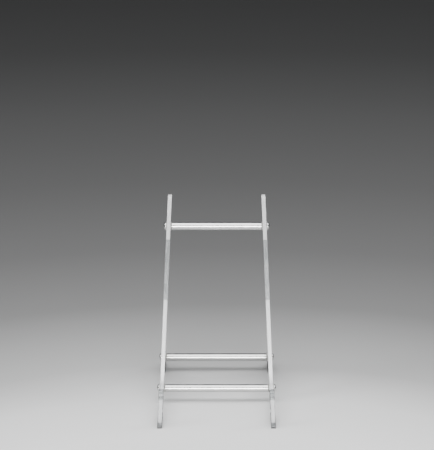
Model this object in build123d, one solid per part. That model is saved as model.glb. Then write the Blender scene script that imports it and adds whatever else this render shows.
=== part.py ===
from build123d import *

import os
from math import cos, radians, sin, sqrt, tan

# Display stand for one large dish or charger, 34 to 40 cm across.
#
# Two clear acrylic side panels stand on edge. Each has an upright lip in front, a flat seat for
# the dish's rim, an arm that leans back behind the dish, and a curved rear leg around a window.
# Three stainless tie rods hold them apart, with a screw and two clear washers at each end.
# The panels lean in towards each other at the top, so the rod ends are cut to that angle.
# Clear vinyl caps, pads and boots cover the acrylic where it meets the dish and the table.
#
# Millimetres. +Z is up and the lips face -Y. The origin is on the table, below the middle of
# the stand. A side's pieces are drawn flat in the YZ plane, with Y from 0 at the front to DEPTH
# at the back, then leaned and shifted to the right side, and mirrored for the left.

# Overall
DEPTH = 172.0
HEIGHT = 205.0
FOOT_SPACING = 114.0  # between the middles of the two panels, at the table
PANEL_LEAN = 2.5  # degrees that each panel leans in from upright
DISH_LEAN = 18.0  # degrees that the arms, and so the dish, lean back

# Side panel
PANEL_T = 4.0
EDGE_CHAMFER = 0.25
BOOT_FLOOR = 0.8  # vinyl under the acrylic feet
LIP_TOP = 37.3
LIP_FRONT_LEAN = 9.0
LIP_BACK_LEAN = 6.0
LIP_ROOT_Y = 13.5  # the lip's back edge, at the height of the seat
SEAT_Z = 16.0
ARM_ROOT_Y = 63.0  # the arm's front edge, at the height of the seat
ARM_TIP_R = 7.0
FRONT_FOOT = 26.0
REAR_FOOT = 24.0
ARCH_Z = 7.5
ARCH_RUN = 6.0
RAIL_TOP_Z = 21.5
HEEL_Z = 9.0
ARM_MEMBER = 15.0
LEG_MEMBER = 13.0
FOOT_R = 1.5
ARCH_R = 5.0
LIP_ROOT_R = 3.0
ARM_ROOT_R = 9.0
HEEL_R = 3.0
WINDOW_R = 5.0

# Tie rods and their fasteners, M4
ROD_R = 4.0
ROD_CHAMFER = 0.5
TAPPED_R = 2.0
TAPPED_DEPTH = 13.0
CLEARANCE_R = 2.2
LOWER_ROD_Z = 14.5
FRONT_ROD_Y = 70.0
REAR_ROD_Y = 156.0
UPPER_ROD_ALONG_ARM = 168.0
WASHER_R = 4.5
WASHER_T = 0.8
WASHER_CHAMFER = 0.16
HEAD_R = 3.8
HEAD_H = 2.2
HEAD_RIM_H = 0.44  # height of the straight rim, below the dome
HEAD_FLAT_R = 1.9
DOME_START = (1, -0.15)  # the way the dome leaves the rim, along the screw and outwards
SOCKET_ACROSS_FLATS = 2.5
SOCKET_DEPTH = 1.3
THREAD_R = 1.95
THREAD_DEPTH = 0.3
THREAD_PITCH = 0.7
THREAD_CREST = 0.2  # flat crest, as a share of the pitch
THREAD_TURNS = 20

# Clear vinyl
SKIN = 0.4  # wall of the caps and boots, and side wall of the pads
PAD_T = 0.8
PAD_SIDE = 3.0  # how far a pad's side walls reach over the acrylic
CAP_BOTTOM_Z = 29.4
BOOT_TOP_Z = 6.0
SEAT_PAD_START = 4.5  # from the lip's back edge
SEAT_PAD_LENGTH = 30.0
ARM_PAD_START = 92.0
ARM_PAD_LENGTH = 62.0
VINYL_R = 0.3
TRIM = 2.0  # how far a cap or boot is made past its open end, before it is cut level

FAR = 400.0  # longer than the whole stand, for blocks that only cut


def slope(degrees):
    """How far an edge moves in Y for each millimetre of height, at that lean."""
    return tan(radians(degrees))


def arm_point(along, behind=0.0):
    """(y, z) of a point measured up the arm's front edge and square behind it."""
    up = (sin(radians(DISH_LEAN)), cos(radians(DISH_LEAN)))
    back = (up[1], -up[0])
    return (
        ARM_ROOT_Y + along * up[0] + behind * back[0],
        SEAT_Z + along * up[1] + behind * back[1],
    )


def arm_tip():
    """How far up the arm's front edge its round end starts."""
    middle_z = HEIGHT - ARM_TIP_R
    return (middle_z - arm_point(0, ARM_TIP_R)[1]) / cos(radians(DISH_LEAN))


def leg_arc():
    """((y, z) centre, radius) of the arc that leaves the arm's back edge and ends at the heel."""
    start = arm_point(arm_tip(), 2 * ARM_TIP_R)
    to_heel = (DEPTH - start[0], HEEL_Z - start[1])
    back = (cos(radians(DISH_LEAN)), -sin(radians(DISH_LEAN)))
    across = to_heel[0] * back[0] + to_heel[1] * back[1]
    radius = (to_heel[0] ** 2 + to_heel[1] ** 2) / (2 * across)
    return (start[0] + radius * back[0], start[1] + radius * back[1]), radius


def corners(face, *wanted):
    """The face's corners nearest to the wanted (y, z) points."""
    return [
        min(face.vertices(), key=lambda v: (v.Y - y) ** 2 + (v.Z - z) ** 2)
        for y, z in wanted
    ]


def flat_face(*points):
    """A face in the YZ plane with straight sides through (y, z) points."""
    return make_face(Plane.YZ * Polyline(*points, close=True))


def disc(centre, radius):
    """A round face in the YZ plane."""
    return Plane.YZ * Pos(*centre) * Circle(radius)


def slab(face, thickness, middle=0.0):
    """A face in the YZ plane made into a plate, with its middle at that X."""
    return Pos(middle, 0, 0) * extrude(face, thickness / 2, both=True)


def band(low, high):
    """Everything in the YZ plane between two heights."""
    return flat_face((-FAR, low), (FAR, low), (FAR, high), (-FAR, high))


def lip_face():
    """The lip and what is under it, down to the table. Its two straight edges run into a round tip."""
    front, back = slope(LIP_FRONT_LEAN), slope(LIP_BACK_LEAN)
    front_side, back_side = sqrt(1 + front**2), sqrt(1 + back**2)
    # The tip's circle touches both edges, and its highest point is at LIP_TOP.
    width_at_top = LIP_ROOT_Y + back * (LIP_TOP - SEAT_Z) - front * LIP_TOP
    tip_r = width_at_top / (front_side + back_side + back - front)
    tip_z = LIP_TOP - tip_r
    tip_y = front * tip_z + tip_r * front_side
    sides = flat_face(
        (0, 0),
        (LIP_ROOT_Y - back * SEAT_Z, 0),
        (tip_y + tip_r / back_side, tip_z - tip_r * back / back_side),
        (tip_y - tip_r / front_side, tip_z + tip_r * front / front_side),
    )
    return sides + disc((tip_y, tip_z), tip_r)


def panel_outline():
    """The side panel's outer outline as a face: feet, lip, seat, arm and rear leg."""
    centre, radius = leg_arc()
    tip = arm_tip()
    arm_and_leg = flat_face(
        arm_point(-SEAT_Z / cos(radians(DISH_LEAN))),
        (DEPTH, 0),
        (DEPTH, HEEL_Z),
        (DEPTH, arm_point(tip, 2 * ARM_TIP_R)[1]),
        arm_point(tip, 2 * ARM_TIP_R),
        arm_point(tip),
    )
    arm_and_leg -= disc(centre, radius)
    arm_and_leg += disc(arm_point(tip, ARM_TIP_R), ARM_TIP_R)
    seat = flat_face((0, 0), (DEPTH, 0), (ARM_ROOT_Y, SEAT_Z), (LIP_ROOT_Y, SEAT_Z))
    outline = seat + lip_face() + arm_and_leg
    outline -= flat_face(
        (FRONT_FOOT, -FAR),
        (DEPTH - REAR_FOOT, -FAR),
        (DEPTH - REAR_FOOT, BOOT_FLOOR),
        (DEPTH - REAR_FOOT - ARCH_RUN, ARCH_Z),
        (FRONT_FOOT + ARCH_RUN, ARCH_Z),
        (FRONT_FOOT, BOOT_FLOOR),
    )
    outline &= band(BOOT_FLOOR, FAR)
    front_y = slope(LIP_FRONT_LEAN) * BOOT_FLOOR
    feet = corners(
        outline,
        (front_y, BOOT_FLOOR),
        (FRONT_FOOT, BOOT_FLOOR),
        (DEPTH - REAR_FOOT, BOOT_FLOOR),
        (DEPTH, BOOT_FLOOR),
    )
    outline = fillet(feet, FOOT_R)
    arch = corners(
        outline, (FRONT_FOOT + ARCH_RUN, ARCH_Z), (DEPTH - REAR_FOOT - ARCH_RUN, ARCH_Z)
    )
    outline = fillet(arch, ARCH_R)
    outline = fillet(corners(outline, (LIP_ROOT_Y, SEAT_Z)), LIP_ROOT_R)
    outline = fillet(corners(outline, (ARM_ROOT_Y, SEAT_Z)), ARM_ROOT_R)
    return fillet(corners(outline, (DEPTH, HEEL_Z)), HEEL_R)


def window_face():
    """The opening between the arm, the rear leg and the base rail."""
    centre, radius = leg_arc()
    low = arm_point((RAIL_TOP_Z - SEAT_Z) / cos(radians(DISH_LEAN)), 0)
    shift = ARM_MEMBER / cos(radians(DISH_LEAN))
    top = arm_point(arm_tip())
    window = flat_face(
        (low[0] + shift, RAIL_TOP_Z), (DEPTH, RAIL_TOP_Z), (DEPTH, top[1]), (top[0] + shift, top[1])
    )
    window -= disc(centre, radius + LEG_MEMBER)
    window = window.faces().sort_by(Axis.Z)[0]
    return fillet(window.vertices(), WINDOW_R)


def hole_points():
    """(y, z) of each tie rod's hole in the flat panel, by the rod's name."""
    middle = arm_point(UPPER_ROD_ALONG_ARM, ARM_TIP_R)
    return {
        "upper": middle,
        "front": (FRONT_ROD_Y, LOWER_ROD_Z),
        "rear": (REAR_ROD_Y, LOWER_ROD_Z),
    }


def side_panel():
    """One acrylic panel, with every edge chamfered on both faces."""
    face = panel_outline() - window_face()
    for point in hole_points().values():
        face -= disc(point, CLEARANCE_R)
    panel = slab(face, PANEL_T)
    broad = panel.faces().sort_by(Axis.X)
    return chamfer(broad[0].edges() + broad[-1].edges(), EDGE_CHAMFER)


def vinyl_over(covered, cut_out):
    """A skin of even thickness round the covered part of the panel, hollow where the panel is."""
    shell = slab(offset(covered, SKIN), PANEL_T + 2 * SKIN)
    shell = fillet(shell.edges(), VINYL_R)
    return shell - slab(panel_outline(), PANEL_T) - cut_out


def lip_cap():
    """The cap over the top of the lip, open below."""
    low, behind = CAP_BOTTOM_Z - TRIM, 2 * LIP_ROOT_Y
    covered = panel_outline() & flat_face((-FAR, low), (behind, low), (behind, FAR), (-FAR, FAR))
    return vinyl_over(covered, slab(band(-FAR, CAP_BOTTOM_Z), FAR))


def boot(start, end, front_lean=0.0):
    """The boot on one foot, open above. It is made too deep, and cut level once it has its lean."""
    over, under, inside = BOOT_TOP_Z + TRIM, -BOOT_FLOOR, 3 * BOOT_FLOOR
    foot = panel_outline() & flat_face((start, 0), (end, 0), (end, over), (start, over))
    back = slope(front_lean)
    sole = flat_face(
        (start + back * under, under), (end, under), (end, inside), (start + back * inside, inside)
    )
    return vinyl_over(foot + sole, slab(band(BOOT_TOP_Z, FAR), FAR))


def pad(face):
    """A channel pushed over a straight edge of the panel: a thick web on the edge, and two side walls."""
    block = slab(face, PANEL_T + 2 * SKIN)
    block = fillet(block.edges(), VINYL_R)
    return block - slab(panel_outline(), PANEL_T)


def seat_pad():
    """The pad under the dish's rim."""
    start = LIP_ROOT_Y + SEAT_PAD_START
    end = start + SEAT_PAD_LENGTH
    low, high = SEAT_Z - PAD_SIDE, SEAT_Z + PAD_T
    return pad(flat_face((start, low), (end, low), (end, high), (start, high)))


def arm_pad():
    """The pad behind the dish, on the arm's front edge."""
    start, end = ARM_PAD_START, ARM_PAD_START + ARM_PAD_LENGTH
    return pad(
        flat_face(
            arm_point(start, PAD_SIDE),
            arm_point(end, PAD_SIDE),
            arm_point(end, -PAD_T),
            arm_point(start, -PAD_T),
        )
    )


def washer(point, face_x):
    """A clear washer at a hole, with its outer face at that X."""
    ring = slab(disc(point, WASHER_R) - disc(point, CLEARANCE_R), WASHER_T, face_x - WASHER_T / 2)
    outer_rims = ring.edges().filter_by(GeomType.CIRCLE).sort_by(SortBy.LENGTH)[-2:]
    return chamfer(outer_rims, WASHER_CHAMFER)


def screw(point):
    """A button-head socket screw: domed head outside the panel, and a shank with thread rings."""
    under_head = PANEL_T / 2 + WASHER_T
    crest, root = THREAD_R, THREAD_R - THREAD_DEPTH
    points = [(under_head, crest)]
    for turn in range(THREAD_TURNS):
        x = under_head - turn * THREAD_PITCH
        points += [
            (x - THREAD_CREST / 2 * THREAD_PITCH, crest),
            (x - THREAD_PITCH / 2, root),
            (x - (1 - THREAD_CREST / 2) * THREAD_PITCH, crest),
        ]
    end = under_head - THREAD_TURNS * THREAD_PITCH
    points += [(end, root), (end, 0), (under_head, 0)]
    shank = make_face(Polyline(*points, close=True))
    top = under_head + HEAD_H
    rim = Line((under_head, HEAD_R), (under_head + HEAD_RIM_H, HEAD_R))
    dome = TangentArc(rim @ 1, (top, HEAD_FLAT_R), tangent=DOME_START)
    rest = Polyline(dome @ 1, (top, 0), (under_head, 0), rim @ 0)
    head = make_face(rim + dome + rest)
    body = revolve(shank + head, Axis.X)
    socket = extrude(
        Plane.YZ.offset(top - SOCKET_DEPTH)
        * RegularPolygon(SOCKET_ACROSS_FLATS / 2, 6, major_radius=False),
        SOCKET_DEPTH,
    )
    return Pos(0, *point) * (body - socket)


def on_right(flat):
    """A piece drawn flat, leaned in and moved to its place on the right side."""
    return Pos(FOOT_SPACING / 2, -DEPTH / 2, 0) * Rot(0, -PANEL_LEAN, 0) * flat


def on_left(flat):
    """The same piece in its place on the left side."""
    return mirror(on_right(flat), about=Plane.YZ)


def tie_rod(point):
    """A rod between the inner washers, with ends cut to the panels' lean and tapped square to them."""
    end_x = -PANEL_T / 2 - WASHER_T
    lean = radians(PANEL_LEAN)
    height = point[1] * cos(lean) + end_x * sin(lean)
    rod = Pos(0, point[0] - DEPTH / 2, height) * Rot(0, 90, 0) * Cylinder(ROD_R, FOOT_SPACING)
    beyond = Pos(end_x + FAR / 2, 0, 0) * Box(FAR, 2 * FAR, 2 * FAR)
    hole = slab(disc(point, TAPPED_R), TAPPED_DEPTH * 2, end_x)
    for place in (on_right, on_left):
        rod -= place(beyond)
    ends = [e for e in rod.edges() if e.geom_type != GeomType.LINE]
    rod = chamfer(ends, ROD_CHAMFER)
    for place in (on_right, on_left):
        rod -= place(hole)
    return rod


def above_table(shape):
    """The shape with anything below the table cut away level."""
    return shape - Pos(0, 0, -FAR / 2) * Box(2 * FAR, 2 * FAR, FAR)


def build():
    """Every piece by its name, in its place."""
    holes = hole_points()
    pieces = {f"{name}_tie_rod": tie_rod(point) for name, point in holes.items()}
    flat = {
        "side_panel": side_panel(),
        "lip_cap": lip_cap(),
        "seat_pad": seat_pad(),
        "arm_pad": arm_pad(),
        "front_boot": boot(0, FRONT_FOOT, LIP_FRONT_LEAN),
        "rear_boot": boot(DEPTH - REAR_FOOT, DEPTH),
    }
    for name, point in holes.items():
        flat[f"{name}_screw"] = screw(point)
        flat[f"{name}_outer_washer"] = washer(point, PANEL_T / 2 + WASHER_T)
        flat[f"{name}_inner_washer"] = washer(point, -PANEL_T / 2)
    for side, place in (("right", on_right), ("left", on_left)):
        for name, shape in flat.items():
            placed = place(shape)
            pieces[f"{side}_{name}"] = above_table(placed) if name.endswith("boot") else placed
    return pieces


def main():
    os.makedirs("parts", exist_ok=True)
    for name, shape in build().items():
        export_step(shape, f"parts/{name}.step")


if __name__ == "__main__":
    main()
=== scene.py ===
from math import cos, radians, sin

import bpy
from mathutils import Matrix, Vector

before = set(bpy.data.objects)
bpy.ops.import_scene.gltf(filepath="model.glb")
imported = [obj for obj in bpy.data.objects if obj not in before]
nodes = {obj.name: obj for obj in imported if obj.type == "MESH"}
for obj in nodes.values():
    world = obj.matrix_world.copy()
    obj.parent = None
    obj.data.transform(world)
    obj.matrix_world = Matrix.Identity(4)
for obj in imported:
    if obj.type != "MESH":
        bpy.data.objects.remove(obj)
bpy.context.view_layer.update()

# Metres throughout, in the frame of the CAD: +Z is up, and the lips face -Y.

# The camera aims near the middle of the dish that the stand would hold, and looks down by its lean.
LOOK_DOWN = radians(18)
LOOK_AT = Vector((0.0004, -0.0235, 0.1937))
CAMERA_DISTANCE = 2.0
LENS = 160.0
NEAREST, FARTHEST = 0.05, 50.0

# The stage is a round floor that curves up into a wall.
FLOOR_RADIUS = 3.0
CURVE_RADIUS = 1.2
WALL_TOP = 4.2
INNER_RINGS = (0.15, 1.0, 2.0)
CURVE_STEPS = 12
SEGMENTS = 128
# Its painted shade by distance from its palest spot, as a share of PAINTED_FALLOFF_REACH: a painted pool of
# light round the stand that falls off to a darker floor and wall.
PAINTED_LIGHT_CENTRE = (0.0, -0.4, 0.0)
PAINTED_FALLOFF_REACH = 2.5
PAINTED_FALLOFF_SHADES = (
    (0.12, 0.86), (0.16, 0.72), (0.195, 0.42), (0.27, 0.20), (0.35, 0.14), (0.47, 0.112), (0.62, 0.10),
    (0.80, 0.08),
)

# Each light: name, place, size, watts, and the point that it faces.
SOFTBOXES = (
    ("overhead", (0.0, -0.2, 1.7), (1.3, 1.1), 26, (0, 0, 0.05)),
    ("front_top", (0.0, -1.5, 1.3), (1.4, 0.5), 9, (0, 0, 0.08)),
    ("front_low", (0.0, -2.3, 0.45), (1.6, 0.4), 65, (0, 0, 0.05)),
    ("left_strip", (-1.2, -0.3, 1.25), (0.5, 0.7), 9, (0, 0, 0.1)),
    ("right_strip", (1.2, 0.3, 1.25), (0.5, 0.7), 6, (0, 0, 0.1)),
)
ROOM_COLOUR = (0.95, 0.97, 1.0, 1)
ROOM_STRENGTH = 0.6


# ---------------------------------------------------------------- node helpers

def material(name, **inputs):
    """A new material with one Principled shader, and constants set on its sockets."""
    mat = bpy.data.materials.new(name)
    mat.use_nodes = True
    shader = mat.node_tree.nodes["Principled BSDF"]
    for key, value in inputs.items():
        shader.inputs[key.replace("_", " ")].default_value = value
    return mat, mat.node_tree, shader


def add(tree, kind, **settings):
    """A new node, with properties set by name and inputs set by in_NAME."""
    node = tree.nodes.new(kind)
    for key, value in settings.items():
        if key.startswith("in_"):
            node.inputs[key[3:].replace("_", " ")].default_value = value
        else:
            setattr(node, key, value)
    return node


def position(tree, scale=(1, 1, 1), shift=(0, 0, 0)):
    """Object coordinates, stretched and shifted. A CAD node's own coordinates are the frame's, in metres."""
    coords = add(tree, "ShaderNodeTexCoord")
    mapping = add(tree, "ShaderNodeMapping", in_Scale=scale, in_Location=shift)
    tree.links.new(coords.outputs["Object"], mapping.inputs["Vector"])
    return mapping.outputs["Vector"]


def noise(tree, vector, scale, detail=3.0, rough=0.5, distortion=0.0):
    """Noise from 0 to 1, mostly between 0.3 and 0.7. Scale is about how many blotches fit in a metre."""
    node = add(tree, "ShaderNodeTexNoise", in_Scale=scale, in_Detail=detail, in_Roughness=rough,
               in_Distortion=distortion)
    tree.links.new(vector, node.inputs["Vector"])
    return node.outputs["Fac"]


def ramp(tree, value, *stops):
    """A colour ramp through stops, each a position and a grey or a colour."""
    node = add(tree, "ShaderNodeValToRGB")
    elements = node.color_ramp.elements
    while len(elements) < len(stops):
        elements.new(0.5)
    for element, (at, colour) in zip(elements, stops):
        element.position = at
        element.color = (*colour, 1) if isinstance(colour, tuple) else (colour, colour, colour, 1)
    tree.links.new(value, node.inputs["Fac"])
    return node.outputs["Color"]


def maths(tree, operation, *values):
    """One sum on its values, which are sockets."""
    node = add(tree, "ShaderNodeMath", operation=operation)
    for value, socket in zip(values, node.inputs):
        tree.links.new(value, socket)
    return node.outputs["Value"]


def mix(tree, factor, a, b, how="MIX"):
    """a and b blended by factor. Each of the three is a socket or a number, and a and b may be colours."""
    node = add(tree, "ShaderNodeMix", data_type="RGBA", blend_type=how)
    for index, value in ((0, factor), (6, a), (7, b)):
        if isinstance(value, tuple):
            node.inputs[index].default_value = (*value, 1)
        elif isinstance(value, (int, float)):
            node.inputs[index].default_value = (value, value, value, 1) if index else value
        else:
            tree.links.new(value, node.inputs[index])
    return node.outputs[2]


def bump(tree, shader, height, strength, distance):
    """Small relief from a height between 0 and 1."""
    node = add(tree, "ShaderNodeBump", in_Strength=strength, in_Distance=distance)
    tree.links.new(height, node.inputs["Height"])
    tree.links.new(node.outputs["Normal"], shader.inputs["Normal"])


def cut_edge_mask(tree):
    """1 on a side panel's narrow edges, 0 on its two broad faces, which face along X."""
    geometry = add(tree, "ShaderNodeNewGeometry")
    split = add(tree, "ShaderNodeSeparateXYZ")
    tree.links.new(geometry.outputs["True Normal"], split.inputs["Vector"])
    facing = maths(tree, "ABSOLUTE", split.outputs["X"])
    return ramp(tree, facing, (0.55, 1.0), (0.9, 0.0))


# ---------------------------------------------------------------- materials

def acrylic():
    """Clear cast sheet: smudged, finely scratched faces, and satin, whitish edges that gather light."""
    mat, tree, shader = material("clear_acrylic", IOR=1.49)
    edge = cut_edge_mask(tree)
    where = position(tree)
    tint = mix(tree, edge, (0.94, 0.955, 0.958), (0.965, 0.97, 0.975))
    tree.links.new(tint, shader.inputs["Base Color"])
    tree.links.new(mix(tree, edge, 1.0, 0.52), shader.inputs["Transmission Weight"])
    smudges = noise(tree, where, scale=38, detail=4, rough=0.6, distortion=0.6)
    scratches = noise(tree, position(tree, scale=(1, 1, 14)), scale=420, detail=2, rough=0.6)
    smudged = ramp(tree, smudges, (0.50, 0.012), (0.66, 0.055))
    scratched = ramp(tree, scratches, (0.66, 0.0), (0.74, 0.06))
    face = maths(tree, "ADD", smudged, scratched)
    satin = ramp(tree, noise(tree, where, scale=900, detail=2), (0.3, 0.12), (0.75, 0.24))
    tree.links.new(mix(tree, edge, face, satin), shader.inputs["Roughness"])
    bump(tree, shader, noise(tree, where, scale=60, detail=2), strength=0.04, distance=0.0006)
    return mat


def vinyl():
    """Soft clear vinyl: greyish and faintly cloudy, with a stretched, uneven skin."""
    mat, tree, shader = material("soft_clear_vinyl", Transmission_Weight=0.92, IOR=1.5)
    where = position(tree)
    cloud = noise(tree, where, scale=160, distortion=0.4)
    tint = ramp(tree, cloud, (0.35, (0.62, 0.64, 0.65)), (0.7, (0.72, 0.735, 0.735)))
    tree.links.new(tint, shader.inputs["Base Color"])
    rough = ramp(tree, noise(tree, where, scale=300, detail=2), (0.35, 0.12), (0.7, 0.24))
    tree.links.new(rough, shader.inputs["Roughness"])
    pull = noise(tree, position(tree, scale=(1, 1, 0.35)), scale=200, detail=2)
    bump(tree, shader, pull, strength=0.12, distance=0.0003)
    return mat


def nylon():
    """Natural nylon washer: milky, a little darker in its grain."""
    mat, tree, shader = material("natural_nylon", Transmission_Weight=0.6, IOR=1.53)
    where = position(tree)
    grain = noise(tree, where, scale=700)
    milk = ramp(tree, grain, (0.3, (0.72, 0.72, 0.68)), (0.75, (0.86, 0.86, 0.82)))
    tree.links.new(milk, shader.inputs["Base Color"])
    rough = ramp(tree, noise(tree, where, scale=1500, detail=2), (0.3, 0.30), (0.7, 0.46))
    tree.links.new(rough, shader.inputs["Roughness"])
    bump(tree, shader, noise(tree, where, scale=2200, detail=2), strength=0.15, distance=0.00005)
    return mat


def turned_steel():
    """Stainless tie rod, turned along X: fine rings round the rod, and faint stains that dull it."""
    mat, tree, shader = material("turned_stainless", Metallic=1.0)
    along_rod = position(tree, scale=(1, 0.03, 0.03), shift=(0.37, 0.11, 0.23))
    rings = noise(tree, along_rod, scale=1500, detail=2, rough=0.6)
    patches = noise(tree, position(tree, shift=(0.61, 0.17, 0.29)), scale=90)
    base = ramp(tree, patches, (0.3, (0.62, 0.62, 0.61)), (0.72, (0.70, 0.70, 0.69)))
    shade = ramp(tree, rings, (0.3, 0.94), (0.7, 1.0))
    tree.links.new(mix(tree, 1.0, base, shade, how="MULTIPLY"), shader.inputs["Base Color"])
    ringed = ramp(tree, rings, (0.3, 0.17), (0.7, 0.23))
    stained = ramp(tree, patches, (0.5, 0.0), (0.8, 0.06))
    tree.links.new(maths(tree, "ADD", ringed, stained), shader.inputs["Roughness"])
    bump(tree, shader, rings, strength=0.08, distance=0.00002)
    return mat


def screw_steel():
    """Stainless button head: bright, with fine pitting and an uneven tone."""
    mat, tree, shader = material("bright_stainless", Metallic=1.0)
    where = position(tree)
    tone = noise(tree, where, scale=240)
    base = ramp(tree, tone, (0.3, (0.60, 0.60, 0.60)), (0.7, (0.73, 0.73, 0.72)))
    tree.links.new(base, shader.inputs["Base Color"])
    pits = noise(tree, where, scale=1800, rough=0.6)
    tree.links.new(ramp(tree, pits, (0.3, 0.14), (0.75, 0.30)), shader.inputs["Roughness"])
    bump(tree, shader, pits, strength=0.2, distance=0.00004)
    return mat


def paper():
    """Matt paper with a painted pool of light: pale round the stand and darker with distance, a painted
    falloff of light.
    """
    mat, tree, shader = material("paper_bowl_painted_falloff", Roughness=0.9, Specular_IOR_Level=0.1)
    apart = add(tree, "ShaderNodeVectorMath", operation="DISTANCE")
    apart.inputs[1].default_value = PAINTED_LIGHT_CENTRE
    tree.links.new(position(tree, scale=(1, 1, 0)), apart.inputs[0])
    share = add(tree, "ShaderNodeMapRange", in_From_Max=PAINTED_FALLOFF_REACH)
    tree.links.new(apart.outputs["Value"], share.inputs["Value"])
    # The floor's colour is painted light: pale near the stand, with painted shade darkening it with
    # distance.
    tree.links.new(ramp(tree, share.outputs["Result"], *PAINTED_FALLOFF_SHADES), shader.inputs["Base Color"])
    return mat


def dress():
    """Gives every CAD node its finished material, by the end of its name."""
    finishes = {
        "side_panel": acrylic(), "lip_cap": vinyl(), "washer": nylon(),
        "tie_rod": turned_steel(), "screw": screw_steel(),
    }
    for ending in ("seat_pad", "arm_pad", "boot"):
        finishes[ending] = finishes["lip_cap"]
    for name, obj in nodes.items():
        finish = next(mat for ending, mat in finishes.items() if name.endswith(ending))
        for slot in obj.material_slots:
            slot.material = finish


# ---------------------------------------------------------------- stage

def bowl_profile():
    """(radius, height) of each ring of the stage, from the middle of the floor to the wall's top."""
    profile = [(radius, 0.0) for radius in (*INNER_RINGS, FLOOR_RADIUS)]
    for step in range(1, CURVE_STEPS + 1):
        turn = radians(90 * step / CURVE_STEPS)
        profile.append((FLOOR_RADIUS + CURVE_RADIUS * sin(turn), CURVE_RADIUS * (1 - cos(turn))))
    profile.append((FLOOR_RADIUS + CURVE_RADIUS, WALL_TOP))
    return profile


def bowl():
    """The floor and wall, as rings of points round one point in the middle."""
    profile = bowl_profile()
    verts = [(0.0, 0.0, 0.0)]
    for radius, height in profile:
        for step in range(SEGMENTS):
            turn = radians(360 * step / SEGMENTS)
            verts.append((radius * cos(turn), radius * sin(turn), height))
    faces = [(0, 1 + i, 1 + (i + 1) % SEGMENTS) for i in range(SEGMENTS)]
    for ring in range(len(profile) - 1):
        low = 1 + ring * SEGMENTS
        high = low + SEGMENTS
        for i in range(SEGMENTS):
            j = (i + 1) % SEGMENTS
            faces.append((low + i, high + i, high + j, low + j))
    mesh = bpy.data.meshes.new("bowl")
    mesh.from_pydata(verts, [], faces)
    for polygon in mesh.polygons:
        polygon.use_smooth = True
    mesh.materials.append(paper())
    obj = bpy.data.objects.new("bowl", mesh)
    bpy.context.scene.collection.objects.link(obj)


def softbox(name, place, size, watts, aim):
    """A rectangular area light that faces the point aim."""
    data = bpy.data.lights.new(name, "AREA")
    data.shape = "RECTANGLE"
    data.size, data.size_y = size
    data.energy = watts
    obj = bpy.data.objects.new(name, data)
    obj.location = place
    obj.rotation_euler = (Vector(aim) - Vector(place)).to_track_quat("-Z", "Y").to_euler()
    bpy.context.scene.collection.objects.link(obj)


def lights():
    """The softboxes, and the soft light of the room."""
    for settings in SOFTBOXES:
        softbox(*settings)
    world = bpy.data.worlds.new("room")
    world.use_nodes = True
    background = world.node_tree.nodes["Background"]
    background.inputs["Color"].default_value = ROOM_COLOUR
    background.inputs["Strength"].default_value = ROOM_STRENGTH
    bpy.context.scene.world = world


def camera():
    """The scene's camera, square to where the dish would be."""
    data = bpy.data.cameras.new("camera")
    data.lens = LENS
    data.clip_start, data.clip_end = NEAREST, FARTHEST
    obj = bpy.data.objects.new("camera", data)
    ahead = Vector((0, cos(LOOK_DOWN), -sin(LOOK_DOWN)))
    obj.location = LOOK_AT - CAMERA_DISTANCE * ahead
    obj.rotation_euler = ahead.to_track_quat("-Z", "Y").to_euler()
    bpy.context.scene.collection.objects.link(obj)
    bpy.context.scene.camera = obj


dress()
bowl()
lights()
camera()
